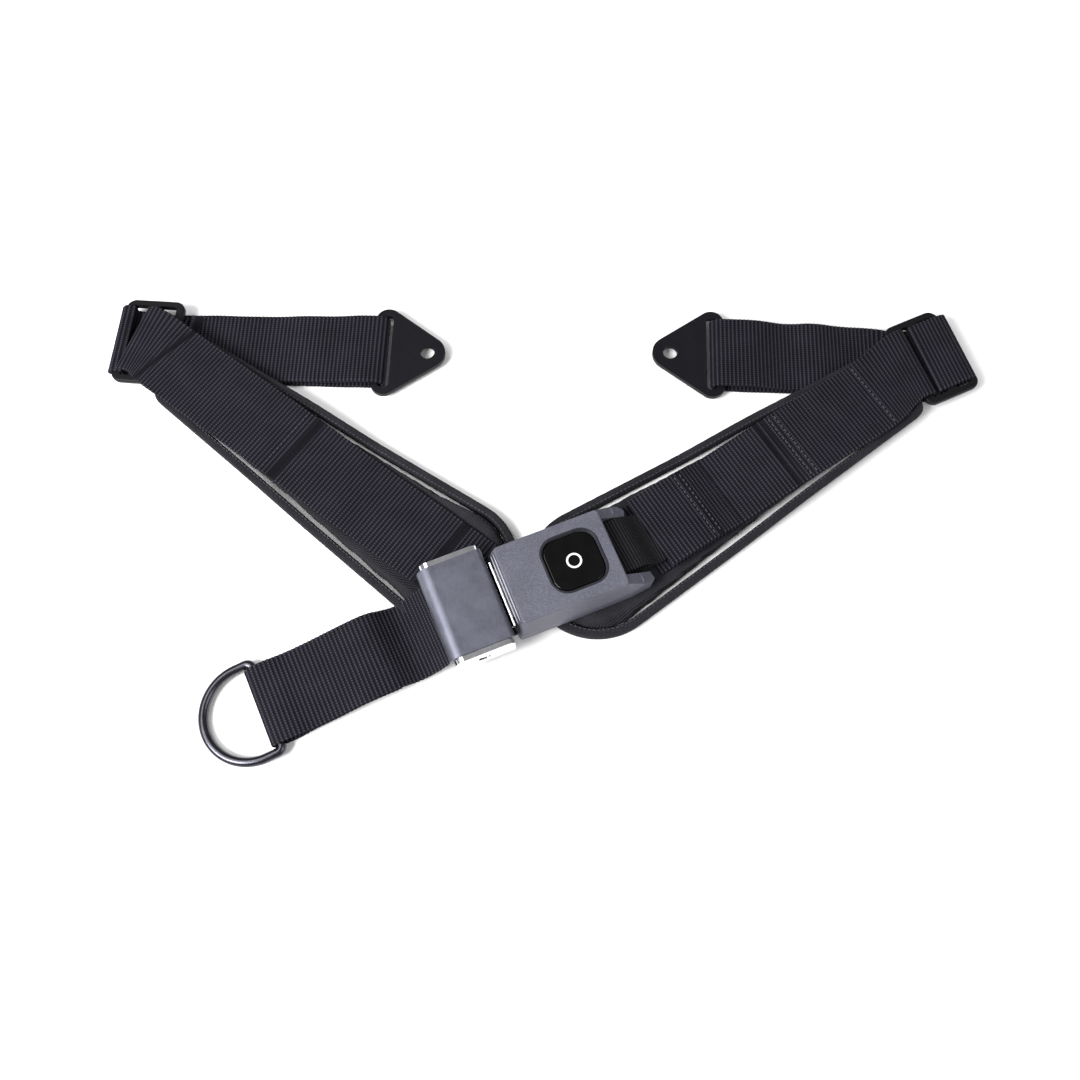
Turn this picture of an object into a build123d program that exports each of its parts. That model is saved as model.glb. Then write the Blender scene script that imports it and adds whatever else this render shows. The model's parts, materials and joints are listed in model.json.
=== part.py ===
from build123d import *
import os
from math import atan2, cos, degrees, hypot, radians, sin

# A padded positioning belt, laid out flat on a table: two tapered hip pads, a push-button
# buckle on the right one, a tongue with a web adjuster on the left one, and two looped end
# straps with screw-on plates. Millimetres. +X runs from the left plate to the right one.

# Webbing
web_w = 38.0  # width of the pad webs, end straps and pull tail
web_t = 1.8  # thickness of that webbing
loop_w = 26.0  # narrow web that ties the buckle to its pad
loop_t = 1.4
air = 0.1  # gap between layers that only lie on each other

# Pads, seen from above: a round wide end of pad_r and a narrow end
pad_r = 32.5
pad_end_half = 20.3  # half width of the narrow end
pad_t = 7.0
pad_border = 4.0  # stitched edge binding around the padding
binding_low = 0.6  # the binding is thinner than the pad
binding_high = 5.4
fabric_t = 0.8
pad_lift = 4.1  # the narrow end lies on the two layers of its end strap
lift_from = 58.0  # where the pad starts to rise and where it is level again
lift_to = 112.0
left_pad_at = (-42.6, -12.5)  # centre of the round end
left_pad_dir = 143.7  # direction towards the narrow end, degrees
left_pad_len = 190.0
right_pad_at = (26.5, -17.2)
right_pad_dir = 32.8
right_pad_len = 183.0

# Buckle, in its own frame: +X towards its pad web, +Z up, Z 0 at its underside
buckle_at = (9.3, -21.8)
buckle_dir = 22.0
buckle_z = 7.3
shell_h = 19.5
shell_split = 7.0  # height of the joint between the two covers
shell_top = (51.0, 38.0)
shell_low = (56.0, 42.0)
shell_wall = 1.9
shell_corner = 1.8
arm_tip = 39.5  # the two rear arms end here
arm_gap = 29.0  # free width between the arms
blade_w = 24.0
blade_t = 2.4
blade_z = 10.0  # middle of the blade above the buckle's underside
button_at = 6.5
button_side = 25.0
button_round = 7.0
button_travel = 2.2
button_low = 16.3  # underside of the button's cap
skirt_top = 17.2
pivot_at = 13.0  # pawl pivot
pivot_z = 6.15
pin_at = 22.0  # anchor pin that holds the narrow web
pin_r = 2.2
loop_skew = 5.0  # degrees between the buckle and its narrow web

# Tongue and adjuster, in the buckle's frame
tongue_mid = -45.6
tongue_w = 49.0
tongue_len = 28.0
sheet_t = 2.4
flange_low = 11.0  # heights above the table
flange_top = 25.0
bar_r = 3.2
bar_z = 10.0  # above the buckle's underside
bar_grooves = 18
bar_travel = 1.4
journal_r = 1.95  # thin ends of the bar, in the flanges' slots
tail_dir = 205.0  # direction of the pull tail, from the tongue to the ring
ring_at = 99.0  # the ring's straight bar, along the tail
ring_wire = 2.2
ring_in = 39.0  # inner length of that bar
ring_deep = 29.5  # from the bar to the crown, between wire centres
ring_loop = 2.5  # inner radius of the web around the bar

# Slides and end plates
slide_size = (30.0, 47.0, 3.2)
slide_bar = 4.0
slide_z = 7.6  # middle of the slide above the table
left_slide_at = (-198.0, 104.0)
left_slide_dir = -4.0
right_slide_at = (196.6, 94.6)
right_slide_dir = 24.0
plate_t = 2.4
plate_bar = 3.4  # width of the bar that the strap goes round
plate_slot = 5.6
plate_len = 36.5
plate_high = 49.0
plate_hole_r = 3.6
plate_loop = 2.5  # inner radius of the strap around the plate's bar
left_plate_at = (-82.9, 100.2)  # middle of the bar
right_plate_at = (91.8, 98.4)


def unit(angle):
    return cos(radians(angle)), sin(radians(angle))


def upright(at, angle, height=0.0):
    """Vertical drawing plane through a point: local X along angle, local Y up."""
    c, s = unit(angle)
    return Plane(origin=(at[0], at[1], height), x_dir=(c, s, 0), z_dir=(s, -c, 0))


def ribbon(points, radii, width, thick, plane):
    """A flat band of webbing that follows a path drawn in an upright plane."""
    path = FilletPolyline(*points, radius=radii) if radii else Line(*points)
    return extrude(plane * trace(path, thick), width / 2, both=True)


def pad_plan(length, inset=0.0):
    """Teardrop outline in the pad's own frame, X from the round end to the narrow end."""
    corner = 5.0
    half = pad_end_half - inset
    small = max(corner - inset, 1.0)
    end = length - inset - small
    spots = [(0, 0, pad_r - inset), (end, half - small, small), (end, small - half, small)]
    circles = [Pos(x, y) * Circle(r) for x, y, r in spots]
    edges = ShapeList()
    for c in circles:
        edges += c.edges()
    return make_hull(edges)


def pad_profile(low, high, start, end):
    """Side view of one layer of the pad, between two heights above its underside."""
    under = [(start, 0), (lift_from, 0), (lift_to, pad_lift), (end, pad_lift)]
    points = [(x, z + low) for x, z in under] + [(x, z + high) for x, z in reversed(under)]
    return Polygon(*points, align=None)


def pad_layer(length, low, high, inset):
    plan = extrude(pad_plan(length, inset), 30)
    side = extrude(upright((0, 0), 0) * pad_profile(low, high, -pad_r, length), 40, both=True)
    return plan & side


def pad_pieces(at, angle, length, trim=None):
    """Backing, foam, face fabric and edge binding of one pad."""
    inner = pad_border
    binding = pad_layer(length, binding_low, binding_high, 0)
    binding -= pad_layer(length, binding_low - 1, binding_high + 1, inner)
    pieces = {
        "backing": pad_layer(length, 0, fabric_t, inner),
        "foam": pad_layer(length, fabric_t, pad_t - fabric_t, inner),
        "face": pad_layer(length, pad_t - fabric_t, pad_t, inner),
        "binding": binding,
    }
    place = Location((at[0], at[1], 0), (0, 0, angle))
    placed = {name: shape.moved(place) for name, shape in pieces.items()}
    if trim is not None:
        placed = {name: shape - trim for name, shape in placed.items()}
    return placed


def shell_block(low, high, shrink=0.0):
    """Drafted body of the buckle between two heights, made smaller by a wall."""
    def section(z):
        share = max(0.0, (z - shell_split) / (shell_h - shell_split))
        length = shell_low[0] + (shell_top[0] - shell_low[0]) * share - 2 * shrink
        width = shell_low[1] + (shell_top[1] - shell_low[1]) * share - 2 * shrink
        return Pos(0, 0, z) * RectangleRounded(length, width, max(shell_corner - shrink, 0.4))
    return loft([section(low), section(high)])


def arm_pair(low, high):
    """The two tapered arms behind the buckle, beside the narrow web."""
    inner = arm_gap / 2
    outer = shell_low[1] / 2
    plan = Polygon(
        (18, inner), (arm_tip - 1.0, inner), (arm_tip, inner + 3.5), (arm_tip - 2.5, outer - 1.2),
        (27, outer), (18, outer), align=None,
    )
    side = Polygon((17, 0), (arm_tip, 0), (arm_tip, 7.0), (26, 17.6), (17, 17.6), align=None)
    arm = extrude(plan, shell_h) & extrude(upright((0, 0), 0) * side, 40, both=True)
    arm = arm & Pos(0, 0, (low + high) / 2) * Box(200, 200, high - low)
    slope = Polygon((outer - 2.2, shell_h), (outer + 0.2, shell_split), (outer + 9, shell_split),
                    (outer + 9, shell_h), align=None)
    arm -= extrude(Plane.YZ.offset(10) * slope, 40)
    return arm + mirror(arm, Plane.XZ)


def button_prism(side, radius, low, high):
    return Pos(button_at, 0, low) * extrude(RectangleRounded(side, side, radius), high - low)


def mouth(grow=0.0):
    return Pos(-24, 0, blade_z) * Box(16, blade_w + 2 + grow, blade_t + 2 + grow)


def rear_way():
    """Free space where the narrow web leaves between the arms."""
    return Pos(28, 0, 9.2) * Box(26, loop_w + 2.4, 12.4)


def top_cover():
    outer = shell_block(shell_split, shell_h)
    outer = fillet(outer.faces().sort_by(Axis.Z)[-1].edges(), 0.8)
    outer += arm_pair(shell_split, shell_h)
    hollow = shell_block(shell_split, shell_h - shell_wall, shell_wall)
    cover = outer - hollow - mouth() - rear_way()
    cover -= button_prism(button_side + 3.0, button_round + 1.5, shell_h - 1.0, shell_h + 1)
    cover -= button_prism(button_side + 0.6, button_round + 0.3, 10, shell_h)
    for x, y in screw_spots():
        cover += Pos(x, y, shell_split) * extrude(Circle(2.6), 5.4)
        cover -= Pos(x, y, shell_split) * extrude(Circle(0.92), 4.6)
    return cover


def button_bezel():
    """Bright rim let into the cover around the button."""
    ring = RectangleRounded(button_side + 2.9, button_side + 2.9, button_round + 1.4)
    ring -= RectangleRounded(button_side + 0.7, button_side + 0.7, button_round + 0.3)
    rim = Pos(button_at, 0, shell_h - 1.0) * extrude(ring, 1.3)
    return chamfer(rim.faces().sort_by(Axis.Z)[-1].edges(), 0.35)


def screw_spots():
    return [(-23.0, 16.4), (-23.0, -16.4), (31.0, 17.6), (31.0, -17.6)]


def bottom_cover():
    outer = shell_block(0, shell_split) + arm_pair(0, shell_split)
    outer = chamfer(outer.faces().sort_by(Axis.Z)[0].edges(), 0.8)
    hollow = Pos(0, 0, 1.4) * extrude(RectangleRounded(52.2, 38.2, 2), shell_split)
    cover = outer - hollow - rear_way()
    for x, y in screw_spots():
        cover += Pos(x, y, 1.4) * extrude(Circle(2.6), shell_split - 1.4)
        cover -= Pos(x, y, 0) * extrude(Circle(1.2), shell_split)
        cover -= Pos(x, y, 0) * extrude(Circle(2.2), 1.6)
    for side in (1, -1):
        cover += Pos(-22, side * 9, 1.4) * extrude(Rectangle(7.2, 2.4), 7.2)
    return cover


def cover_screws():
    """Four self-tapping screws from below."""
    screws = []
    for x, y in screw_spots():
        head = Pos(x, y, 0.3) * extrude(Circle(2.1), 1.2)
        head -= Pos(x, y, 0.2) * extrude(Rectangle(0.6, 3) + Rectangle(3, 0.6), 0.8)
        screws.append(head + Pos(x, y, 1.4) * extrude(Circle(0.88), 9.6))
    return Part() + screws


def latch_frame():
    """Folded steel channel that carries the pins and guides the blade."""
    wall = 1.8
    half = 16.9
    base = Pos(4, 0, 1.5) * extrude(Rectangle(42, 2 * half), 1.5)
    base -= Pos(0, 0, 1) * extrude(Rectangle(24, 21.4), 3)
    base -= Pos(25, 0, 1) * extrude(Rectangle(14, loop_w + 3), 3)
    frame = base
    for side in (1, -1):
        wall_box = Pos(4, side * (half - wall / 2), 6.95) * Box(42, wall, 10.9)
        frame += wall_box
    bridge = Pos(button_at, 0, 12.0) * Box(9, 2 * half, 0.8)
    frame += bridge
    frame -= Pos(pivot_at, 0, pivot_z) * Rot(90, 0, 0) * Cylinder(1.5, 60)
    frame -= Pos(pin_at, 0, blade_z) * Rot(90, 0, 0) * Cylinder(pin_r, 60)
    return frame


def cross_pin(x, z, radius, length):
    pin = Pos(x, 0, z) * Rot(90, 0, 0) * Cylinder(radius, length)
    return chamfer(pin.faces().sort_by(Axis.Y)[0].edges() + pin.faces().sort_by(Axis.Y)[-1].edges(), 0.3)


def push_button():
    cap = button_prism(button_side, button_round, button_low, shell_h - 0.5)
    cap = fillet(cap.faces().sort_by(Axis.Z)[-1].edges(), 0.8)
    cap += button_prism(button_side + 2.6, button_round, button_low, skirt_top)
    cap -= Pos(button_at, 0, button_low) * extrude(Circle(4.0), 1.4)
    leg_low = pivot_z + 1.0
    for side in (1, -1):
        cap += Pos(0, side * 13.55, (leg_low + skirt_top) / 2) * Box(2.0, 1.5, skirt_top - leg_low)
    return cap


def button_mark():
    """Plain ring printed on the button, standing a hair proud."""
    ring = Circle(3.6) - Circle(2.7)
    return Pos(button_at, 0, shell_h - 0.5) * extrude(ring, 0.12)


def coil(radius, wire, length, turns):
    path = Helix(pitch=(length - wire) / turns, height=length - wire, radius=radius)
    section = Plane(path @ 0, z_dir=path % 0) * Circle(wire / 2)
    return Pos(0, 0, wire / 2) * sweep(section, path=path)


def button_spring():
    return Pos(button_at, 0, 12.4) * coil(3.0, 0.6, 5.2, 4)


def latch_pawl():
    plate = Pos(3.6, 0, pivot_z) * Box(17.2, 20, 1.5)
    ears = Pos(0, 0, pivot_z + 0.15) * Box(3.0, 28.6, 1.2)
    hub = Pos(pivot_at, 0, pivot_z) * Rot(90, 0, 0) * Cylinder(2.6, 20)
    tooth = extrude(
        Plane.XZ.offset(-6) * Polygon((-5, 5.4), (-1.6, 5.4), (-1.6, 8.5), (-3.2, 8.5), align=None), 12
    )
    pawl = plate + ears + hub + tooth
    pawl -= Pos(pivot_at, 0, pivot_z) * Rot(90, 0, 0) * Cylinder(1.55, 60)
    pawl -= Pos(pivot_at, 0, pivot_z) * Box(7.4, 9, 8)
    return pawl


def pawl_spring():
    """Torsion spring round the pivot pin, in the gap of the pawl's hub."""
    body = Rot(90, 0, 0) * Pos(0, 0, -3.6) * coil(2.3, 0.8, 7.2, 6)
    return Pos(pivot_at, 0, pivot_z) * body


def ejector():
    """Plastic slider that pushes the tongue out."""
    block = Pos(4.2, 0, blade_z) * Box(5.4, 16, 2.4)
    block += Pos(8.6, 0, blade_z) * Box(4.0, 3.0, 2.0)
    return chamfer(block.faces().sort_by(Axis.X)[0].edges(), 0.4)


def ejector_spring():
    spring = Pos(10.7, 0, blade_z) * Rot(0, 90, 0) * coil(0.9, 0.4, 6.6, 7)
    return spring


def buckle_place():
    return Location((buckle_at[0], buckle_at[1], buckle_z), (0, 0, buckle_dir))


def buckle_loop():
    """Narrow web: round the anchor pin, then two layers down to the pad web."""
    c, s = unit(buckle_dir)
    at = (buckle_at[0] + pin_at * c, buckle_at[1] + pin_at * s)
    height = buckle_z + blade_z
    wrap = pin_r + 0.2 + loop_t / 2
    reach = wrap + 1.0  # further round the pin, which the web crosses at a slight skew
    low = pad_t + web_t + air + loop_t / 2
    high = low + loop_t + air
    run = [
        (36, high), (22, high), (12, height + wrap), (-reach, height + wrap),
        (-reach, height - wrap), (7, height - wrap), (19, low), (36, low),
    ]
    return ribbon(run, [6, 8, wrap * 0.98, wrap * 0.98, 6, 6], loop_w, loop_t,
                  upright(at, buckle_dir + loop_skew))


def tongue_plate():
    """Bright steel: blade, joggle, base with the web window, two side flanges."""
    half = tongue_w / 2
    base_mid = flange_low + sheet_t / 2 - buckle_z
    rear = tongue_mid - tongue_len / 2
    front = tongue_mid + tongue_len / 2
    side_path = FilletPolyline((rear, base_mid), (front - 1, base_mid), (front + 2.4, blade_z),
                               (1.0, blade_z), radius=1.6)
    sheet = trace(side_path, blade_t)
    blade = extrude(upright((0, 0), 0) * sheet, half, both=True)
    plan = Pos((rear + front) / 2 - 0.5, 0) * Rectangle(tongue_len + 1, tongue_w)
    plan += Pos(front - 1, 0) * Rectangle(9, blade_w + 8)
    plan += Pos((front + 1) / 2, 0) * Rectangle(1 - front, blade_w)
    plate = blade & extrude(plan, 40)
    plate -= Pos(tongue_mid - 0.6, 0, 0) * extrude(Rectangle(17, web_w + 3), 10)
    plate -= Pos(-3.4, 0, 0) * extrude(RectangleRounded(6.4, 13.4, 1.2), 20)
    top = flange_top - buckle_z
    for side in (1, -1):
        wall = Pos(tongue_mid, side * (half - sheet_t / 2), (base_mid - 1.2 + top) / 2)
        wall *= Box(tongue_len, sheet_t, top - base_mid + 1.2)
        wall = fillet(wall.edges().filter_by(Axis.Y).sort_by(Axis.Z)[-2:], 4.0)
        plate += wall
        slot = Pos(tongue_mid - bar_travel / 2, side * half, bar_z) * Rot(90, 0, 0)
        opening = SlotOverall(bar_travel + 2 * journal_r + 0.4, 2 * journal_r + 0.3)
        plate -= slot * extrude(opening, 8, both=True)
    return plate


def tongue_cover():
    """Satin cover: a sheet that rolls down over the strap side."""
    top = flange_top - buckle_z + 0.2
    front = tongue_mid + tongue_len / 2 + 0.4
    rear = tongue_mid - tongue_len / 2 - 1.4
    path = FilletPolyline((rear, top - 7.0), (rear, top), (front, top - 0.6),
                          (front, top - 4.2), radius=[5.4, 1.4])
    sheet = extrude(upright((0, 0), 0) * trace(path, 1.3), tongue_w / 2 - sheet_t - 0.15, both=True)
    return sheet


def adjuster_bar():
    """Knurled bar that locks the web; it slides in the slots of the flanges."""
    here = Pos(tongue_mid, 0, bar_z)
    bar = here * Rot(90, 0, 0) * Cylinder(bar_r, web_w + 2.6)
    for n in range(bar_grooves):
        turn = Rot(0, n * 360 / bar_grooves, 0)
        bar -= here * turn * Pos(bar_r, 0, 0) * Box(0.35, web_w - 2, 0.5)
    return bar + here * Rot(90, 0, 0) * Cylinder(journal_r, tongue_w - 0.8)


def tail_origin():
    c, s = unit(buckle_dir)
    return buckle_at[0] + tongue_mid * c, buckle_at[1] + tongue_mid * s


def adjuster_web():
    """Web from the pad, round the adjuster bar and out as the pull tail with the ring."""
    high = buckle_z + bar_z
    wrap = bar_r + web_t / 2 + 1.1
    start = pad_t + web_t + air + web_t / 2
    loop = ring_loop + web_t / 2
    mid = loop + web_t / 2
    under = web_t + air
    run = [
        (-13, start), (-wrap, start), (-wrap, high + wrap), (wrap + 2.6, high + wrap - 0.6),
        (wrap + 9.0, 15.2), (34, 6.6), (54, 6.9), (74, 5.2), (ring_at - 7, mid + loop),
        (ring_at + loop, mid + loop), (ring_at + loop, mid - loop), (ring_at - 9, mid - loop),
        (74, 5.2 - under), (54, 6.9 - under), (37, 6.6 - under),
    ]
    radii = [1.6, wrap * 0.98, 4, 6, 14, 30, 30, 8, loop * 0.98, loop * 0.98, 8, 30, 30]
    return ribbon(run, radii, web_w, web_t, upright(tail_origin(), tail_dir))


def ring_centre():
    c, s = unit(tail_dir)
    x, y = tail_origin()
    return x + ring_at * c, y + ring_at * s, ring_loop + web_t


def d_ring():
    """Wire ring with one straight bar, laid down so that its crown rests on the table."""
    half = ring_in / 2 + ring_wire
    bow = ring_deep - half
    bar = FilletPolyline((bow, half), (0, half), (0, -half), (bow, -half), radius=2.8)
    crown = ThreePointArc((bow, half), (ring_deep, 0), (bow, -half))
    ring = Part()
    for path in (bar, crown):
        ring += sweep(Plane(path @ 0, z_dir=path % 0) * Circle(ring_wire), path=path)
    x, y, z = ring_centre()
    down = degrees(atan2(z - ring_wire, ring_deep))
    return ring.moved(Location((0, 0, 0), (0, down, 0))).moved(Location((x, y, z), (0, 0, tail_dir)))


def slide(at, angle):
    """Three-bar slide with rounded corners."""
    length, width, thick = slide_size
    body = Pos(0, 0, -thick / 2) * extrude(RectangleRounded(length, width, 5), thick)
    body = fillet(body.faces().sort_by(Axis.Z)[-1].edges() + body.faces().sort_by(Axis.Z)[0].edges(), 0.9)
    gap = (length - 3 * slide_bar) / 2
    for side in (1, -1):
        x = side * (slide_bar + gap) / 2
        body -= Pos(x, 0, -thick) * extrude(RectangleRounded(gap, web_w + 2.4, 1.5), 2 * thick)
    return body.moved(Location((at[0], at[1], slide_z), (0, 0, angle)))


def slide_reach():
    """Distance from the slide's middle to the middle of an outer bar."""
    return (slide_size[0] - slide_bar) / 2


def plate_plan():
    """Rounded three-cornered plate, X from its bar towards its tip."""
    left = -plate_bar / 2
    lobe = 6.5
    tip = 9.0
    half = plate_high / 2
    spots = [(left + lobe, half - lobe, lobe), (left + lobe, lobe - half, lobe),
             (left + plate_len - tip, 0, tip)]
    edges = ShapeList()
    for x, y, r in spots:
        edges += (Pos(x, y) * Circle(r)).edges()
    outline = make_hull(edges)
    slot = Pos(plate_bar / 2 + plate_slot / 2, 0) * RectangleRounded(plate_slot, web_w + 2.6, 1.6)
    hole = Pos(left + plate_len - tip, 0) * Circle(plate_hole_r)
    return outline - slot - hole


def end_plate(at, angle):
    body = Pos(0, 0, -plate_t / 2) * extrude(plate_plan(), plate_t)
    height = plate_loop + web_t
    return body.moved(Location((at[0], at[1], height), (0, 0, angle)))


def strap_heading(slide_at, plate_at):
    dx = plate_at[0] - slide_at[0]
    dy = plate_at[1] - slide_at[1]
    return degrees(atan2(dy, dx)), hypot(dx, dy)


def slide_gap():
    """Half the height between the layers of web above and below the slide."""
    return slide_size[2] / 2 + web_t / 2 + air


def end_strap(slide_at, outward, plate_at, back_to):
    """Looped strap: round the slide's outer bar, to the plate's bar and back along the table."""
    angle, reach = strap_heading(slide_at, plate_at)
    loop = plate_loop + web_t / 2
    mid = plate_loop + web_t
    low = web_t / 2
    second = low + web_t + air
    legs = [
        (0, low), (reach + loop, low), (reach + loop, mid + loop), (reach - 6, mid + loop),
        (reach - 18, 5.8), (reach - 34, second + 0.3), (reach - 48, second), (6, second),
    ]
    leg_radii = [loop * 0.98, loop * 0.98, 8, 20, 20, 20]
    gap = slide_gap()
    outer = slide_reach() + slide_bar / 2 + web_t / 2 + air
    turn = [
        (-12, second), (5, second), (10, slide_z - gap), (outer, slide_z - gap),
        (outer, slide_z + gap), (back_to, slide_z + gap), (back_to, slide_z - 1.0),
    ]
    strap = ribbon(legs, leg_radii, web_w, web_t, upright(slide_at, angle))
    return strap + ribbon(turn, [2, 2, 1.6, 1.6, 1.2], web_w, web_t, upright(slide_at, outward))


def web_turn(slide_at, outward, start, turn_at, end, top):
    """Loop of a pad web round one bar of its slide."""
    low = slide_z - slide_gap()
    run = [(start, top), (turn_at, top), (turn_at, low), (end, low)]
    return ribbon(run, (top - low) / 2 * 0.98, web_w, web_t, upright(slide_at, outward))


def pad_webs():
    """Webs sewn on the two pads, and the doubled end that holds the buckle's narrow web."""
    top = pad_t + air + web_t / 2
    end_top = top + pad_lift
    left = [(-14, top), (11, top), (14, top + 0.5), (lift_from, top + 0.2), (98, end_top - 0.6),
            (101, end_top), (182, end_top)]
    right = [(31, top), (lift_from, top), (lift_to, end_top), (182, end_top)]
    left_web = ribbon(left, [2, 2, 60, 4, 4], web_w, web_t, upright(left_pad_at, left_pad_dir))
    left_web += web_turn(left_slide_at, left_slide_dir + 180, -15, slide_bar / 2 + 2.8, -14, end_top)
    right_web = ribbon(right, [60, 60], web_w, web_t, upright(right_pad_at, right_pad_dir))
    right_web += web_turn(right_slide_at, right_slide_dir, -24,
                          slide_bar / 2 + 2.8 - slide_reach(), -14.8, end_top)
    fold_mid = pad_t + 2 * (web_t + loop_t) + 4 * air - web_t / 2
    fold = ribbon([(31.5, fold_mid), (67, fold_mid)], None, web_w, web_t,
                  upright(right_pad_at, right_pad_dir))
    return left_web, right_web, fold


def build():
    """Every node of the belt, by name, before it is moved onto its origin."""
    nodes = {}
    here = buckle_place()
    for make in (top_cover, bottom_cover, button_bezel, cover_screws, latch_frame, push_button,
                 button_mark, button_spring, latch_pawl, pawl_spring, ejector, ejector_spring,
                 tongue_plate, tongue_cover, adjuster_bar):
        nodes[make.__name__] = make().moved(here)
    nodes["pawl_pin"] = cross_pin(pivot_at, pivot_z, 1.5, 33.6).moved(here)
    nodes["anchor_pin"] = cross_pin(pin_at, blade_z, pin_r, 33.6).moved(here)
    nodes["buckle_loop_web"] = buckle_loop()
    nodes["adjuster_web"] = adjuster_web()
    nodes["d_ring"] = d_ring()
    nodes["left_slide"] = slide(left_slide_at, left_slide_dir)
    nodes["right_slide"] = slide(right_slide_at, right_slide_dir)
    length, width, thick = slide_size
    clear = Location((left_slide_at[0], left_slide_at[1], 0), (0, 0, left_slide_dir))
    trim = Pos(0, 0, slide_z) * Box(length + 1.0, width + 1.0, 20)
    left = pad_pieces(left_pad_at, left_pad_dir, left_pad_len, trim.moved(clear))
    right = pad_pieces(right_pad_at, right_pad_dir, right_pad_len)
    for name in left:
        nodes["left_pad_" + name] = left[name]
        nodes["right_pad_" + name] = right[name]
    nodes["left_pad_web"], nodes["right_pad_web"], nodes["right_web_fold"] = pad_webs()
    inside = slide_bar / 2 + web_t / 2 + air
    for side, slide_at, outward, plate_at, back_to in (
        ("left", left_slide_at, left_slide_dir + 180, left_plate_at, slide_reach() - inside),
        ("right", right_slide_at, right_slide_dir, right_plate_at, -inside),
    ):
        nodes[side + "_end_strap"] = end_strap(slide_at, outward, plate_at, back_to)
        nodes[side + "_end_plate"] = end_plate(plate_at, strap_heading(slide_at, plate_at)[0])
    return nodes


def placed():
    """The nodes with the origin under the middle of the belt's box, and the move that did it."""
    nodes = build()
    box = Compound(children=[copy for shape in nodes.values() for copy in shape.solids()]).bounding_box()
    move = (-box.center().X, -box.center().Y, -box.min.Z)
    return {name: shape.moved(Location(move)) for name, shape in nodes.items()}, move


if __name__ == "__main__":
    os.makedirs("parts", exist_ok=True)
    nodes, move = placed()
    for name, shape in nodes.items():
        export_step(shape, "parts/" + name + ".step")
    print("moved by", [round(v, 4) for v in move])
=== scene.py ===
import json
import math
import bpy
import numpy as np
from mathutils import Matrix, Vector


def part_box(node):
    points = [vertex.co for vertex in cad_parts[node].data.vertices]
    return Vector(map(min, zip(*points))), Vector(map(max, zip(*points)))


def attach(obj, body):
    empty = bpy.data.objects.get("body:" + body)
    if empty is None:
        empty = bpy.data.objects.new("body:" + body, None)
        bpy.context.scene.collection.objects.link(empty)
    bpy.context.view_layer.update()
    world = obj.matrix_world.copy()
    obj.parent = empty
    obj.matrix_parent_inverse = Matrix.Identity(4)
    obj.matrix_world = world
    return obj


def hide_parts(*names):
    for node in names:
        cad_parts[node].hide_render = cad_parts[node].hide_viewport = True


# Looks of the padded positioning belt: webbing, pads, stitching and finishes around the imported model.

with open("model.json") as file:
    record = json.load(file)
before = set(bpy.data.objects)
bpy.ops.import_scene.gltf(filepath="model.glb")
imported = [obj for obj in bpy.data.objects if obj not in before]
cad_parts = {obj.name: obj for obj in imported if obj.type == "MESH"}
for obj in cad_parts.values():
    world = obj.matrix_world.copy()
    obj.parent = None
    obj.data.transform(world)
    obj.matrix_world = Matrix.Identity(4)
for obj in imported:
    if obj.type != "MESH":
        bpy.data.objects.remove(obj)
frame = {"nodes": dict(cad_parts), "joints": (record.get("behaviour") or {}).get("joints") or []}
bpy.ops.object.select_all(action="DESELECT")
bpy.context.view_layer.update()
joints = {joint["name"]: joint for joint in frame["joints"]}
nodes = frame["nodes"]
print("frame loaded:", len(nodes), "nodes")

mm = 0.001


# shader building

class Wire:  # one output socket, so that shader maths can be written as Python
    def __init__(self, finish, socket):
        self.finish = finish
        self.socket = socket

    def maths(self, operation, first, second):
        return self.finish.node("ShaderNodeMath", {"operation": operation}, {0: first, 1: second})

    def __add__(self, other):
        return self.maths("ADD", self, other)

    def __radd__(self, other):
        return self.maths("ADD", other, self)

    def __sub__(self, other):
        return self.maths("SUBTRACT", self, other)

    def __rsub__(self, other):
        return self.maths("SUBTRACT", other, self)

    def __mul__(self, other):
        return self.maths("MULTIPLY", self, other)

    def __rmul__(self, other):
        return self.maths("MULTIPLY", other, self)

    def __gt__(self, other):
        return self.maths("GREATER_THAN", self, other)

    def sine(self):
        return self.maths("SINE", self, 0.0)

    def power(self, exponent):
        return self.maths("POWER", self, exponent)


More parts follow.
